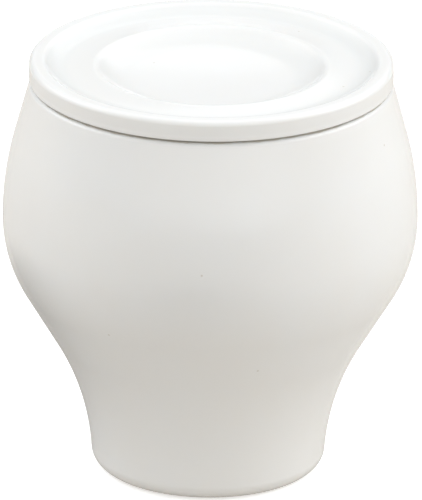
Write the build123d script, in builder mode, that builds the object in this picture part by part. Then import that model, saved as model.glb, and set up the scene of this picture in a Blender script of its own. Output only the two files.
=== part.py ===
from build123d import *
import os
from math import cos, radians, sin

# Covered porcelain pot: a bulbous pot on a drawn-in foot, and a loose disc lid without a handle.
# Millimetres, +Z up, origin at the centre of the plane that the foot rests on. Angles in degrees.

# Outside of the pot, from the foot to the mouth, as a chain of tangent arcs
body_height = 83.5
foot_radius = 24.1
foot_edge_radius = 3.8
foot_lean = 4.2
waist_radius = 55.7
flank_lean = 31.0
flank_length = 12.8
lower_belly_radius = 29.6
upper_belly_radius = 66.8
shoulder_lean = 15.2

# Inside of the pot, and its mouth
wall = 3.8
inside_floor_height = 6.0
inside_floor_corner_radius = 9.0
mouth_outer_edge_radius = 1.2
mouth_inner_edge_radius = 0.8

# Recess under the pot, which leaves a ring to stand on
foot_ring_inner_radius = 18.2
foot_recess_radius = 17.2
foot_recess_depth = 1.8
foot_recess_corner_radius = 1.5
foot_ring_edge_radius = 0.6

# Lid: its thick edge, which overhangs the seat with a little air under it
lid_radius = 37.5
lid_top_above_seat = 4.8
lid_top_edge_radius = 1.1
lid_bottom_edge_radius = 0.5
lid_seat_outer_radius = 35.3
lid_overhang_gap = 0.55
lid_overhang_gap_slope_width = 0.5
lid_overhang_gap_corner_radius = 0.4

# Lid: its top face, from the rim inwards, as a chain of tangent arcs
rim_inner_radius = 34.9
rim_inner_edge_radius = 1.2
rim_wall_slope = 40.0
trough_arc_radius = 6.2
ridge_approach_arc_radius = 36.0
ridge_approach_slope = 9.0
ridge_arc_radius = 2.0
dish_wall_slope = 36.0
dish_wall_arc_radius = 11.0
dish_floor_slope = 4.0

# Lid: its underside, and the ring that drops into the mouth
flange_clearance = 0.8
flange_width = 3.2
flange_depth = 4.7
flange_root_radius = 0.5
flange_tip_radius = 1.2
trough_underside_depth = 5.2
dish_underside_depth = 7.6
dish_underside_radius = 15.5
dish_underside_slope_radius = 20.5
underside_corner_radius = 3.0

os.makedirs("parts", exist_ok=True)

lid_top_height = body_height + lid_top_above_seat

with BuildPart() as body:
    with BuildSketch(Plane.XZ):
        with BuildLine():
            foot_edge = JernArc(
                (foot_radius - foot_edge_radius, 0), (1, 0), foot_edge_radius, 90 - foot_lean
            )
            waist = JernArc(foot_edge @ 1, foot_edge % 1, waist_radius, foot_lean - flank_lean)
            flank = PolarLine(waist @ 1, flank_length, 90 - flank_lean)
            lower_belly = JernArc(flank @ 1, flank % 1, lower_belly_radius, flank_lean)
            upper_belly = JernArc(lower_belly @ 1, lower_belly % 1, upper_belly_radius, shoulder_lean)
            shoulder_rise = body_height - (upper_belly @ 1).Y
            shoulder = PolarLine(
                upper_belly @ 1, shoulder_rise, 90 + shoulder_lean, length_mode=LengthMode.VERTICAL
            )
            Polyline(shoulder @ 1, (0, body_height), (0, 0), foot_edge @ 0)
        make_face()
    revolve(axis=Axis.Z)
    mouth_outer_edge = body.edges().group_by(Axis.Z)[-1]
    fillet(mouth_outer_edge, mouth_outer_edge_radius)

    # The inside follows the outside at the wall's thickness, down to a flat floor.
    inward = Vector(-cos(radians(shoulder_lean)), -sin(radians(shoulder_lean)))
    inner_shoulder_foot = upper_belly @ 1 + inward * wall
    mouth_radius = (shoulder @ 1).X - wall / cos(radians(shoulder_lean))
    with BuildSketch(Plane.XZ) as inside:
        with BuildLine():
            inner_shoulder = Line((mouth_radius, body_height), inner_shoulder_foot)
            inner_upper_belly = JernArc(
                inner_shoulder @ 1, inner_shoulder % 1, upper_belly_radius - wall, -shoulder_lean
            )
            inner_lower_belly = JernArc(
                inner_upper_belly @ 1, inner_upper_belly % 1, lower_belly_radius - wall, -flank_lean
            )
            inner_flank = PolarLine(inner_lower_belly @ 1, flank_length, -90 - flank_lean)
            inner_waist = JernArc(
                inner_flank @ 1, inner_flank % 1, waist_radius + wall, flank_lean - foot_lean
            )
            Polyline(
                inner_waist @ 1, (0, (inner_waist @ 1).Y), (0, body_height), inner_shoulder @ 0
            )
        make_face()
        with Locations((0, inside_floor_height)):
            Rectangle(
                lid_radius * 2, body_height, align=(Align.MIN, Align.MIN), mode=Mode.INTERSECT
            )
        floor_corner = inside.vertices().group_by(Axis.Y)[0].sort_by(Axis.X)[-1]
        fillet(floor_corner, inside_floor_corner_radius)
    revolve(axis=Axis.Z, mode=Mode.SUBTRACT)
    mouth_edges = body.edges().filter_by(GeomType.CIRCLE).group_by(Axis.Z)[-1]
    fillet(mouth_edges.sort_by(SortBy.RADIUS)[0], mouth_inner_edge_radius)

    with BuildSketch(Plane.XZ) as recess:
        with BuildLine():
            Polyline(
                (0, 0),
                (foot_ring_inner_radius, 0),
                (foot_recess_radius, foot_recess_depth),
                (0, foot_recess_depth),
                close=True,
            )
        make_face()
        recess_corner = recess.vertices().group_by(Axis.Y)[-1].sort_by(Axis.X)[-1]
        fillet(recess_corner, foot_recess_corner_radius)
    revolve(axis=Axis.Z, mode=Mode.SUBTRACT)
    foot_ring_edges = body.edges().filter_by(GeomType.CIRCLE).group_by(Axis.Z)[0]
    fillet(foot_ring_edges.sort_by(SortBy.RADIUS)[0], foot_ring_edge_radius)

flange_outer_radius = mouth_radius - flange_clearance
flange_inner_radius = flange_outer_radius - flange_width
flange_tip_height = body_height - flange_depth
trough_underside_height = lid_top_height - trough_underside_depth
dish_underside_height = lid_top_height - dish_underside_depth
lid_overhang_height = body_height + lid_overhang_gap

with BuildPart() as lid:
    with BuildSketch(Plane.XZ):
        with BuildLine():
            # Underside and edge, from the axis out to the rim
            underside = FilletPolyline(
                (0, dish_underside_height),
                (dish_underside_radius, dish_underside_height),
                (dish_underside_slope_radius, trough_underside_height),
                (flange_inner_radius, trough_underside_height),
                (flange_inner_radius, flange_tip_height),
                (flange_outer_radius, flange_tip_height),
                (flange_outer_radius, body_height),
                (lid_seat_outer_radius, body_height),
                (lid_seat_outer_radius + lid_overhang_gap_slope_width, lid_overhang_height),
                (lid_radius, lid_overhang_height),
                (lid_radius, lid_top_height),
                (rim_inner_radius, lid_top_height),
                radius=[
                    underside_corner_radius,
                    underside_corner_radius,
                    flange_tip_radius,
                    flange_tip_radius,
                    flange_tip_radius,
                    flange_root_radius,
                    lid_overhang_gap_corner_radius,
                    lid_overhang_gap_corner_radius,
                    lid_bottom_edge_radius,
                    lid_top_edge_radius,
                ],
            )
            # Top face, from the rim back to the axis
            rim_inner_edge = JernArc(underside @ 1, (-1, 0), rim_inner_edge_radius, rim_wall_slope)
            trough = JernArc(
                rim_inner_edge @ 1, rim_inner_edge % 1, trough_arc_radius, -rim_wall_slope
            )
            ridge_approach = JernArc(
                trough @ 1, trough % 1, ridge_approach_arc_radius, -ridge_approach_slope
            )
            ridge = JernArc(
                ridge_approach @ 1,
                ridge_approach % 1,
                ridge_arc_radius,
                ridge_approach_slope + dish_wall_slope,
            )
            dish_wall = JernArc(
                ridge @ 1, ridge % 1, dish_wall_arc_radius, dish_floor_slope - dish_wall_slope
            )
            dish_floor_arc_radius = (dish_wall @ 1).X / sin(radians(dish_floor_slope))
            dish_floor = JernArc(dish_wall @ 1, dish_wall % 1, dish_floor_arc_radius, -dish_floor_slope)
            Line((0, (dish_floor @ 1).Y), (0, dish_underside_height))
        make_face()
    revolve(axis=Axis.Z)

body.part.label = "body"
lid.part.label = "lid"
export_step(body.part, "parts/body.step")
export_step(lid.part, "parts/lid.step")
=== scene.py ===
from math import asin, cos, degrees, hypot, pi, radians, sin, tan

import bpy
from mathutils import Euler, Matrix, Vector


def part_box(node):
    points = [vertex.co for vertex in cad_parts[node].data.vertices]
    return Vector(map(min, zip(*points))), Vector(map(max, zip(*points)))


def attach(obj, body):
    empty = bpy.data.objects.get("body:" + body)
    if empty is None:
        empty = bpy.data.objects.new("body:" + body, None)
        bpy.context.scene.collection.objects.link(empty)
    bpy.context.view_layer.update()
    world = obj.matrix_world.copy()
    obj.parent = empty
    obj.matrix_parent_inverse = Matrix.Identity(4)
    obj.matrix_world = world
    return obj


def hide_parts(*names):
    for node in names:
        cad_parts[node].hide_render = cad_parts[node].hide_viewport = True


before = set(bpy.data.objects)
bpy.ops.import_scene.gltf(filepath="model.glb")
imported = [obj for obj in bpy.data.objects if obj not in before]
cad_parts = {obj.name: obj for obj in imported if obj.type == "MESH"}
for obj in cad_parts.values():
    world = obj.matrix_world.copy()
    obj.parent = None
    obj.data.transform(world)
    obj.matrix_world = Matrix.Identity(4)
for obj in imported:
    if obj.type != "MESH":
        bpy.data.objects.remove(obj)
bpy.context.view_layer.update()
_, body_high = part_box("body")
lid_low, lid_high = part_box("lid")

# A covered porcelain pot: a glazed body and a loose glazed lid, both round about the Z axis.
# Outlines are drawn in millimetres in a half section, x outwards from the axis and z up.
MM = 0.001

body_height = body_high.z / MM
lid_radius = lid_high.x / MM
lid_top = lid_high.z / MM
flange_tip = lid_low.z / MM

# The wall leans in at the shoulder, so its level thickness at the mouth is more than the wall's own.
wall = 3.8
shoulder_lean = 15.2

scene = bpy.context.scene


# ---------------------------------------------------------------- outlines

# How finely outlines are drawn: degrees along an arc, and millimetres along anything
ARC_STEP = 4.0
RUN_STEP = 1.0
FEWEST_ARC_STEPS = 4


class Outline:
    """A pen that draws straight runs and tangent arcs. Heading is in degrees: 0 outwards, 90 up.

    Every point keeps how tightly the outline bends there, in 1/mm, positive where it bulges out.
    """

    def __init__(self, x, z, heading=0.0):
        self.points = [(x, z)]
        self.bends = [0.0]
        self.heading = heading

    @property
    def at(self):
        return self.points[-1]

    def run(self, length):
        """A straight run along the heading."""
        x, z = self.at
        along_x, along_z = cos(radians(self.heading)), sin(radians(self.heading))
        steps = max(1, round(length / RUN_STEP))
        for i in range(1, steps + 1):
            reach = length * i / steps
            self.points.append((x + reach * along_x, z + reach * along_z))
            self.bends.append(0.0)

    def arc(self, radius, turn):
        """An arc that leaves along the heading and turns it, to the left where turn is positive."""
        side = 1 if turn > 0 else -1
        start = radians(self.heading)
        x, z = self.at
        centre_x = x - side * radius * sin(start)
        centre_z = z + side * radius * cos(start)
        arc_length = radius * abs(radians(turn))
        steps = max(FEWEST_ARC_STEPS, round(abs(turn) / ARC_STEP), round(arc_length / RUN_STEP))
        for i in range(1, steps + 1):
            now = start + radians(turn) * i / steps
            x, z = centre_x + side * radius * sin(now), centre_z - side * radius * cos(now)
            self.points.append((x, z))
            self.bends.append(side / radius)
        self.heading += turn

    def through(self, corners):
        """Straight runs past (x, z, radius) corners, each rounded by its radius, to the last one."""
        for i, (x, z, radius) in enumerate(corners):
            here_x, here_z = self.at
            length = hypot(x - here_x, z - here_z)
            if i == len(corners) - 1:
                self.run(length)
                return
            next_x, next_z, _ = corners[i + 1]
            turn = turn_between((x - here_x, z - here_z), (next_x - x, next_z - z))
            trim = radius * tan(radians(abs(turn)) / 2)
            self.run(length - trim)
            self.arc(radius, turn)


def turn_between(a, b):
    """The angle from direction a to direction b, in degrees, positive to the left."""
    cross = a[0] * b[1] - a[1] * b[0]
    angle = degrees(asin(max(-1.0, min(1.0, cross / (hypot(*a) * hypot(*b))))))
    if a[0] * b[0] + a[1] * b[1] < 0:
        angle = (180 if cross > 0 else -180) - angle
    return angle


def body_outline():
    """From the axis under the foot, round the outside and over the mouth, to the axis on the inside.

    Also gives the mouth's radius, where the inside would meet the top if its edge weren't rounded.
    """
    foot_contact, foot_edge, foot_lean = 20.3, 3.8, 4.2
    waist, flank_lean, flank = 55.7, 31.0, 12.8
    lower_belly, upper_belly = 29.6, 66.8
    floor_height, floor_corner = 6.0, 9.0
    outer_edge, inner_edge = 1.2, 0.8
    recess_radius, recess_depth, recess_corner = 17.2, 1.8, 1.5
    ring_inner, ring_edge = 18.2, 0.6

    pen = Outline(0, recess_depth)
    pen.through([
        (recess_radius, recess_depth, recess_corner),
        (ring_inner, 0, ring_edge),
        (foot_contact, 0, 0),
    ])
    pen.arc(foot_edge, 90 - foot_lean)
    waist_centre_z = pen.at[1] - waist * sin(radians(foot_lean))
    pen.arc(waist, foot_lean - flank_lean)
    pen.run(flank)
    pen.arc(lower_belly, flank_lean)
    pen.arc(upper_belly, shoulder_lean)
    shoulder = (body_height - pen.at[1]) / cos(radians(shoulder_lean))
    land = wall / cos(radians(shoulder_lean))
    mouth_radius = pen.at[0] - shoulder * sin(radians(shoulder_lean)) - land

    # Over the mouth's rim: both edges are rounded, and the land between them carries the lid.
    outer_turn = 90 - shoulder_lean
    inner_turn = 90 + shoulder_lean
    outer_trim = outer_edge * tan(radians(outer_turn / 2))
    inner_trim = inner_edge * tan(radians(inner_turn / 2))
    pen.run(shoulder - outer_trim)
    pen.arc(outer_edge, outer_turn)
    pen.run(land - outer_trim - inner_trim)
    pen.arc(inner_edge, inner_turn)

    # The inside keeps the wall's thickness, down to a rounded corner and a flat floor.
    inner_shoulder = shoulder + wall * tan(radians(shoulder_lean))
    pen.run(inner_shoulder - inner_trim)
    pen.arc(upper_belly - wall, -shoulder_lean)
    pen.arc(lower_belly - wall, -flank_lean)
    pen.run(flank)
    rise = waist_centre_z - floor_height - floor_corner
    corner_lean = degrees(asin(-rise / (waist + wall + floor_corner)))
    pen.arc(waist + wall, flank_lean - corner_lean)
    pen.arc(floor_corner, corner_lean - 90)
    pen.run(pen.at[0])
    return pen, mouth_radius


def lid_outline(mouth_radius):
    """From the axis underneath, round the locating ring and the thick edge, to the axis on top."""
    clearance, flange_width = 0.8, 3.2
    flange_outer = mouth_radius - clearance
    flange_inner = flange_outer - flange_width
    trough_under, dish_under = lid_top - 5.2, lid_top - 7.6
    dish_under_radius, trough_under_radius = 15.5, 20.5
    seat_outer, gap_slope = 35.3, 0.5
    rim_inner = 34.9
    under_corner, flange_corner, flange_root = 3.0, 1.2, 0.5
    gap_corner, bottom_edge, top_edge = 0.3, 0.5, 1.1

    # The air gap under the lid's edge is a little thinner than the CAD lid's 0.55 mm.
    overhang_gap = 0.42
    edge_bottom = body_height + overhang_gap

    pen = Outline(0, dish_under)
    pen.through([
        (dish_under_radius, dish_under, under_corner),
        (trough_under_radius, trough_under, under_corner),
        (flange_inner, trough_under, flange_corner),
        (flange_inner, flange_tip, flange_corner),
        (flange_outer, flange_tip, flange_corner),
        (flange_outer, body_height, flange_root),
        (seat_outer, body_height, gap_corner),
        (seat_outer + gap_slope, edge_bottom, gap_corner),
        (lid_radius, edge_bottom, bottom_edge),
        (lid_radius, lid_top, top_edge),
        (rim_inner, lid_top, 0),
    ])
    rim_slope, approach_slope, dish_slope, floor_slope = 40.0, 9.0, 36.0, 4.0
    rim_edge, trough, approach, ridge, dish_wall = 1.2, 6.2, 36.0, 2.0, 11.0
    pen.arc(rim_edge, rim_slope)
    pen.arc(trough, -rim_slope)
    pen.arc(approach, -approach_slope)
    pen.arc(ridge, approach_slope + dish_slope)
    pen.arc(dish_wall, floor_slope - dish_slope)
    pen.arc(pen.at[0] / sin(radians(floor_slope)), -floor_slope)
    return pen


# ---------------------------------------------------------------- meshes

SEGMENTS = 288

# How a round piece leaves the kiln: a little oval, and a little three-cornered, as shares of its radius
OVAL = 0.0012
THREE_CORNERED = 0.0005


def kiln_warp(around, towards):
    """The factor on the radius at an angle, for a piece that is widest towards another angle."""
    return 1 + OVAL * cos(2 * (around - towards)) + THREE_CORNERED * cos(3 * (around - towards))


def turned(name, pen, widest):
    """A closed solid of revolution, in quads, with one vertex where the outline meets the axis.

    The bend attribute tells the glaze where it runs thin over an edge and where it gathers in a hollow.
    """
    ring_points = pen.points[1:-1]
    vertices = [(0, 0, pen.points[0][1] * MM)]
    for x, z in ring_points:
        for j in range(SEGMENTS):
            around = 2 * pi * j / SEGMENTS
            radius = x * MM * kiln_warp(around, radians(widest))
            vertices.append((radius * cos(around), radius * sin(around), z * MM))
    vertices.append((0, 0, pen.points[-1][1] * MM))
    last = len(vertices) - 1

    faces = []
    for j in range(SEGMENTS):
        k = (j + 1) % SEGMENTS
        faces.append((0, 1 + k, 1 + j))
        for i in range(len(ring_points) - 1):
            low, high = 1 + i * SEGMENTS, 1 + (i + 1) * SEGMENTS
            faces.append((low + j, low + k, high + k, high + j))
        top = 1 + (len(ring_points) - 1) * SEGMENTS
        faces.append((top + j, top + k, last))

    mesh = bpy.data.meshes.new(name)
    mesh.from_pydata(vertices, [], faces)
    bend = mesh.attributes.new("bend", "FLOAT", "POINT")
    bends = [pen.bends[0]]
    for value in pen.bends[1:-1]:
        bends += [value] * SEGMENTS
    bends.append(pen.bends[-1])
    bend.data.foreach_set("value", bends)
    mesh.shade_smooth()
    piece = bpy.data.objects.new(name, mesh)
    scene.collection.objects.link(piece)
    return piece


# ---------------------------------------------------------------- materials

class Nodes:
    """Adds nodes to a node tree. An input takes a number, a tuple or another node's output."""

    def __init__(self, tree):
        self.tree = tree

    def feed(self, socket, value):
        if isinstance(value, bpy.types.NodeSocket):
            self.tree.links.new(value, socket)
        else:
            socket.default_value = value

    def add(self, kind, inputs, **settings):
        node = self.tree.nodes.new("ShaderNode" + kind)
        for name, value in settings.items():
            setattr(node, name, value)
        for key, value in inputs.items():
            self.feed(node.inputs[key], value)
        return node

    def maths(self, operation, *values):
        return self.add("Math", dict(enumerate(values)), operation=operation).outputs[0]

    def noise(self, where, period, detail=2.0):
        """Cloudy noise from 0 to 1, with features about a period apart, in millimetres."""
        node = self.add("TexNoise", {"Vector": where, "Scale": 1 / (period * MM), "Detail": detail})
        return node.outputs["Fac"]

    def spread(self, value, low, high, to_low, to_high, smooth=False):
        """The value's range from low to high, spread over another range and clamped to it."""
        node = self.add("MapRange", {"Value": value, "From Min": low, "From Max": high,
                                     "To Min": to_low, "To Max": to_high})
        if smooth:
            node.interpolation_type = "SMOOTHSTEP"
        return node.outputs["Result"]

    def dots(self, where, period, radius):
        """1 inside scattered small dots, 0 outside; the period and the largest radius in millimetres."""
        cells = self.add("TexVoronoi", {"Vector": where, "Scale": 1 / (period * MM), "Randomness": 1.0})
        size = radius / period
        return self.spread(cells.outputs["Distance"], size * 0.5, size, 1.0, 0.0, smooth=True)

    def blend(self, share, first, second):
        """The first colour, or the second one where the share is 1."""
        node = self.add("Mix", {}, data_type="RGBA")
        self.feed(node.inputs[0], share)
        self.feed(node.inputs[6], first)
        self.feed(node.inputs[7], second)
        return node.outputs[2]


GLAZE = (0.800, 0.803, 0.796, 1)
GLAZE_CREAM = (0.796, 0.792, 0.776, 1)
GLAZE_THIN = (0.815, 0.815, 0.806, 1)
GLAZE_GATHERED = (0.765, 0.775, 0.765, 1)
SPECK = (0.52, 0.47, 0.39, 1)
BISCUIT = (0.66, 0.625, 0.565, 1)

# How far apart things lie on the surface, and how large they are, in millimetres
GLAZE_LINE_PERIOD, GLAZE_LINE_WANDER = 2.5, 0.08
CLOUD_PERIOD = 24
SPECK_PERIOD, SPECK_RADIUS = 9.0, 0.3
PINHOLE_PERIOD, PINHOLE_RADIUS = 12.5, 0.28
GLOSS_PERIOD = 11
WAVE_PERIOD = 14
PEEL_PERIOD = 2.6
GRAIN_PERIOD = 0.22

# Heights in micrometres
MICROMETRE = 1e-6
WAVE_HEIGHT = 14.0
PEEL_HEIGHT = 1.6
PINHOLE_DEPTH = 9.0
BISCUIT_LOW, BISCUIT_HIGH = -70.0, -45.0

# Bends of the outline, in 1/mm, where the glaze starts to change and where it has changed all the way
THIN_FROM, THIN_AT = 0.2, 0.9
GATHERED_FROM, GATHERED_AT = -0.02, -0.25

SPECK_STRENGTH = 0.5
GRAIN_STRENGTH = 0.25
GLAZE_ROUGHNESS_LOW, GLAZE_ROUGHNESS_HIGH = 0.10, 0.17
BISCUIT_ROUGHNESS = 0.75
GLAZE_IOR = 1.52

# Light goes a little way into the porcelain, and its red part goes furthest.
SCATTER_SHARE = 0.15
SCATTER_BY_COLOUR = (1.0, 0.85, 0.7)
SCATTER_DISTANCE = 1.5


def glazed_porcelain(name, seed, bare_bands):
    """Clear glaze over white porcelain, with biscuit showing where z is in a band, in millimetres."""
    material = bpy.data.materials.new(name)
    material.use_nodes = True
    nodes = Nodes(material.node_tree)
    shader = material.node_tree.nodes["Principled BSDF"]
    place = nodes.add("TexCoord", {}).outputs["Object"]
    where = nodes.add("VectorMath", {0: place, 1: (seed, 0, 0)}, operation="ADD").outputs[0]

    # The glaze was wiped off before firing, so its edge wanders by a fraction of a millimetre.
    height = nodes.add("SeparateXYZ", {0: place}).outputs["Z"]
    line_noise = nodes.noise(where, GLAZE_LINE_PERIOD)
    wander = nodes.spread(line_noise, 0.3, 0.7, -GLAZE_LINE_WANDER * MM, GLAZE_LINE_WANDER * MM)
    wandering_height = nodes.maths("ADD", height, wander)
    bare = 0.0
    for low, high in bare_bands:
        middle, half = (low + high) / 2 * MM, (high - low) / 2 * MM
        band = nodes.maths("COMPARE", wandering_height, middle, half)
        bare = nodes.maths("MAXIMUM", band, bare)

    bend = nodes.add("Attribute", {}, attribute_name="bend").outputs["Fac"]
    thin = nodes.spread(bend, THIN_FROM, THIN_AT, 0.0, 1.0)
    gathered = nodes.spread(bend, GATHERED_FROM, GATHERED_AT, 0.0, 1.0)

    # Colour: faint cream clouds, a whiter edge, a greyer hollow, a few iron specks
    clouds = nodes.spread(nodes.noise(where, CLOUD_PERIOD, 3.0), 0.35, 0.65, 0.0, 1.0)
    colour = nodes.blend(clouds, GLAZE, GLAZE_CREAM)
    colour = nodes.blend(thin, colour, GLAZE_THIN)
    colour = nodes.blend(gathered, colour, GLAZE_GATHERED)
    specks = nodes.dots(where, SPECK_PERIOD, SPECK_RADIUS)
    colour = nodes.blend(nodes.maths("MULTIPLY", specks, SPECK_STRENGTH), colour, SPECK)
    grain = nodes.noise(where, GRAIN_PERIOD, 3.0)
    biscuit = nodes.blend(nodes.spread(grain, 0.3, 0.7, 0.0, GRAIN_STRENGTH), BISCUIT, SPECK)
    colour = nodes.blend(bare, colour, biscuit)
    nodes.feed(shader.inputs["Base Color"], colour)

    # Gloss: a little uneven, and none on the biscuit
    unevenness = nodes.noise(where, GLOSS_PERIOD, 3.0)
    gloss = nodes.spread(unevenness, 0.3, 0.7, GLAZE_ROUGHNESS_LOW, GLAZE_ROUGHNESS_HIGH)
    roughness = nodes.add("Mix", {0: bare, 2: gloss, 3: BISCUIT_ROUGHNESS}).outputs[0]
    nodes.feed(shader.inputs["Roughness"], roughness)

    # Relief: the glaze's slow waves, orange peel and pinholes, and the coarser biscuit below it
    waves = nodes.maths("MULTIPLY", nodes.noise(where, WAVE_PERIOD, 1.0), WAVE_HEIGHT)
    peel = nodes.maths("MULTIPLY", nodes.noise(where, PEEL_PERIOD, 1.0), PEEL_HEIGHT)
    pinholes = nodes.dots(where, PINHOLE_PERIOD, PINHOLE_RADIUS)
    dips = nodes.maths("MULTIPLY", pinholes, -PINHOLE_DEPTH)
    glaze_relief = nodes.maths("ADD", nodes.maths("ADD", waves, peel), dips)
    biscuit_relief = nodes.spread(grain, 0.0, 1.0, BISCUIT_LOW, BISCUIT_HIGH)
    relief = nodes.add("Mix", {0: bare, 2: glaze_relief, 3: biscuit_relief}).outputs[0]
    bump = nodes.add("Bump", {"Height": relief, "Distance": MICROMETRE, "Strength": 1.0})
    nodes.feed(shader.inputs["Normal"], bump.outputs["Normal"])

    shader.inputs["IOR"].default_value = GLAZE_IOR
    shader.inputs["Subsurface Weight"].default_value = SCATTER_SHARE
    shader.inputs["Subsurface Radius"].default_value = SCATTER_BY_COLOUR
    shader.inputs["Subsurface Scale"].default_value = SCATTER_DISTANCE * MM
    return material


# ---------------------------------------------------------------- pieces

# Bare biscuit: the ring that the pot stands on, and the two faces that meet when the lid is on
FOOT_BARE = (-0.2, 0.3)
MOUTH_BARE = (body_height - 0.1, body_height + 0.2)
SEAT_BARE = (body_height - 0.15, body_height + 0.15)

body_pen, mouth_radius = body_outline()
body_piece = turned("pot_body", body_pen, 20)
body_piece.data.materials.append(
    glazed_porcelain("glazed_porcelain_body", 0.0, [FOOT_BARE, MOUTH_BARE])
)
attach(body_piece, "body")
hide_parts("body")

lid_piece = turned("pot_lid", lid_outline(mouth_radius), 75)
lid_piece.data.materials.append(glazed_porcelain("glazed_porcelain_lid", 0.31, [SEAT_BARE]))
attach(lid_piece, "lid")
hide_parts("lid")


# ---------------------------------------------------------------- stage

scene.view_settings.view_transform = "Standard"

# Soft light from all round, as in a tent, made of round glows that fade smoothly.
# Each is (azimuth from the camera's side towards +X, elevation, radiance at its middle).
GLOW_SHARPNESS = 10.0
HIGH_GLOWS_ABOVE = 20
HIGH_TINT = (0.985, 1.0, 1.015)
LOW_TINT = (1.0, 1.0, 0.985)
GLOWS = [
    (0, 8, 1.02),
    (30, 8, 1.34),
    (90, 35, 3.04),
    (120, 35, 1.39),
    (180, 8, 0.56),
    (240, 35, 1.99),
    (270, 35, 1.93),
    (330, 8, 0.95),
    (0, 90, 1.47),
]


def light_tent():
    """A world lit by the glows: each falls off as the exponential of the cosine from its middle."""
    world = bpy.data.worlds.new("light_tent")
    world.use_nodes = True
    nodes = Nodes(world.node_tree)
    direction = nodes.add("TexCoord", {}).outputs["Generated"]
    radiance = (0, 0, 0)
    for azimuth, elevation, strength in GLOWS:
        tint = HIGH_TINT if elevation > HIGH_GLOWS_ABOVE else LOW_TINT
        colour = tuple(strength * share for share in tint)
        around, up = radians(azimuth), radians(elevation)
        middle = (sin(around) * cos(up), -cos(around) * cos(up), sin(up))
        aim = nodes.add("VectorMath", {0: direction, 1: middle}, operation="DOT_PRODUCT")
        fall = nodes.maths("MULTIPLY_ADD", aim.outputs["Value"], GLOW_SHARPNESS, -GLOW_SHARPNESS)
        falloff = nodes.maths("EXPONENT", fall)
        glow = nodes.add("VectorMath", {0: falloff, 1: colour, 2: radiance}, operation="MULTIPLY_ADD")
        radiance = glow.outputs["Vector"]
    nodes.feed(world.node_tree.nodes["Background"].inputs["Color"], radiance)
    scene.world = world


# A white board behind and to the right, above the lid's level. Its lower part shows in the lid's dish.
BOARD_LEFT, BOARD_RIGHT = -0.06, 1.25
BOARD_BOTTOM, BOARD_TOP = 0.69, 1.60
BOARD_BACK = 1.5
BOARD_RADIANCE = 0.5


def back_board():
    width, height = BOARD_RIGHT - BOARD_LEFT, BOARD_TOP - BOARD_BOTTOM
    data = bpy.data.lights.new("back_board", "AREA")
    data.shape = "RECTANGLE"
    data.size, data.size_y = width, height
    data.energy = BOARD_RADIANCE * pi * width * height
    board = bpy.data.objects.new("back_board", data)
    board.location = ((BOARD_LEFT + BOARD_RIGHT) / 2, BOARD_BACK, (BOARD_BOTTOM + BOARD_TOP) / 2)
    board.rotation_euler = (radians(-90), 0, 0)
    board.visible_camera = False
    scene.collection.objects.link(board)


FLOOR_SIZE = 12.0
FLOOR_ROUGHNESS = 0.8
FLOOR_SPECULAR = 0.2
BOUNCE_FLOOR_DEPTH = 0.0002
BLACK = (0, 0, 0, 1)
SHOWN_FLOOR_PAINT = (0.80, 0.80, 0.80)
SHOWN_FLOOR_GLOW = (0.50, 0.50, 0.50)
BOUNCE_FLOOR_PAINT = (0.490, 0.461, 0.422)
BOUNCE_FLOOR_GLOW = (0.170, 0.160, 0.146)

# Painted shade on the grey floor: dark soft-edged patches, which keep its light off the pot's left and
# front:
# (x, y, radius, how dark from 0 to 1), in metres.
PAINTED_SHADE_PATCHES = [
    (-0.085, 0.03, 0.09, 0.90),
    (-0.02, -0.14, 0.12, 0.82),
]


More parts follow.
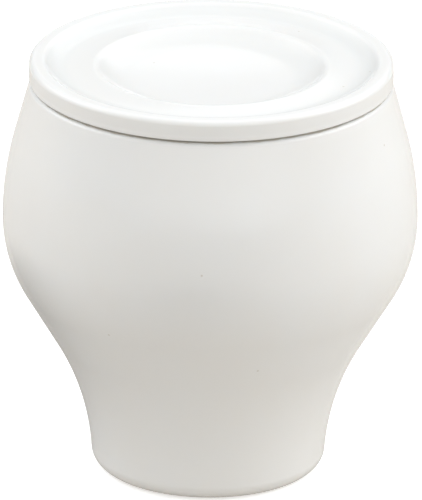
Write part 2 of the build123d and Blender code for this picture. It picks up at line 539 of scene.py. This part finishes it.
def floor_plane(name, z, paint_colour, glow, patches=()):
    """A square matt floor of one paint at height z, with a glow of its own and dark patches of painted
    shade.
    """
    half = FLOOR_SIZE / 2
    corners = [(-half, -half, z), (half, -half, z), (half, half, z), (-half, half, z)]
    mesh = bpy.data.meshes.new(name)
    mesh.from_pydata(corners, [], [(0, 1, 2, 3)])
    floor = bpy.data.objects.new(name, mesh)
    scene.collection.objects.link(floor)
    paint = bpy.data.materials.new(name + "_paint")
    paint.use_nodes = True
    shader = paint.node_tree.nodes["Principled BSDF"]
    shader.inputs["Roughness"].default_value = FLOOR_ROUGHNESS
    shader.inputs["Specular IOR Level"].default_value = FLOOR_SPECULAR
    shader.inputs["Emission Strength"].default_value = 1.0
    nodes = Nodes(paint.node_tree)
    colour, light = (*paint_colour, 1), (*glow, 1)
    if patches:
        place = nodes.add("TexCoord", {}).outputs["Object"]
    # Each patch paints soft shade into the floor's paint and into its glow.
    for x, y, radius, darkness in patches:
        away = nodes.add("VectorMath", {0: place, 1: (x, y, z)}, operation="DISTANCE")
        shade = nodes.spread(away.outputs["Value"], 0.0, radius, darkness, 0.0, smooth=True)
        colour = nodes.blend(shade, colour, BLACK)
        light = nodes.blend(shade, light, BLACK)
    nodes.feed(shader.inputs["Base Color"], colour)
    nodes.feed(shader.inputs["Emission Color"], light)
    mesh.materials.append(paint)
    return floor


light_tent()
back_board()

# The white floor is what the camera sees. The light that comes up from below is that of a greyer
# floor just under it.
shown_floor = floor_plane("floor", 0.0, SHOWN_FLOOR_PAINT, SHOWN_FLOOR_GLOW)
shown_floor.visible_diffuse = False
shown_floor.visible_glossy = False
shown_floor.visible_shadow = False
bounce_floor = floor_plane(
    "bounce_floor", -BOUNCE_FLOOR_DEPTH, BOUNCE_FLOOR_PAINT, BOUNCE_FLOOR_GLOW, PAINTED_SHADE_PATCHES
)
bounce_floor.visible_camera = False

# ---------------------------------------------------------------- camera

CAMERA_BACK = 2.93
CAMERA_UP = 1.14836
CAMERA_DOWN_ANGLE = 20.609
CAMERA_PAN = -0.0048
CAMERA_ROLL = 0.534
CAMERA_LENS = 1093.9
CAMERA_SENSOR = 36
CAMERA_NEAR, CAMERA_FAR = 0.05, 50

camera_data = bpy.data.cameras.new("camera")
camera_data.lens = CAMERA_LENS
camera_data.sensor_width = CAMERA_SENSOR
camera_data.clip_start = CAMERA_NEAR
camera_data.clip_end = CAMERA_FAR
camera = bpy.data.objects.new("camera", camera_data)
scene.collection.objects.link(camera)
camera.matrix_world = (
    Matrix.Translation((0, -CAMERA_BACK, CAMERA_UP))
    @ Euler((radians(90 - CAMERA_DOWN_ANGLE), 0, radians(CAMERA_PAN))).to_matrix().to_4x4()
    @ Matrix.Rotation(radians(CAMERA_ROLL), 4, "Z")
)
scene.camera = camera
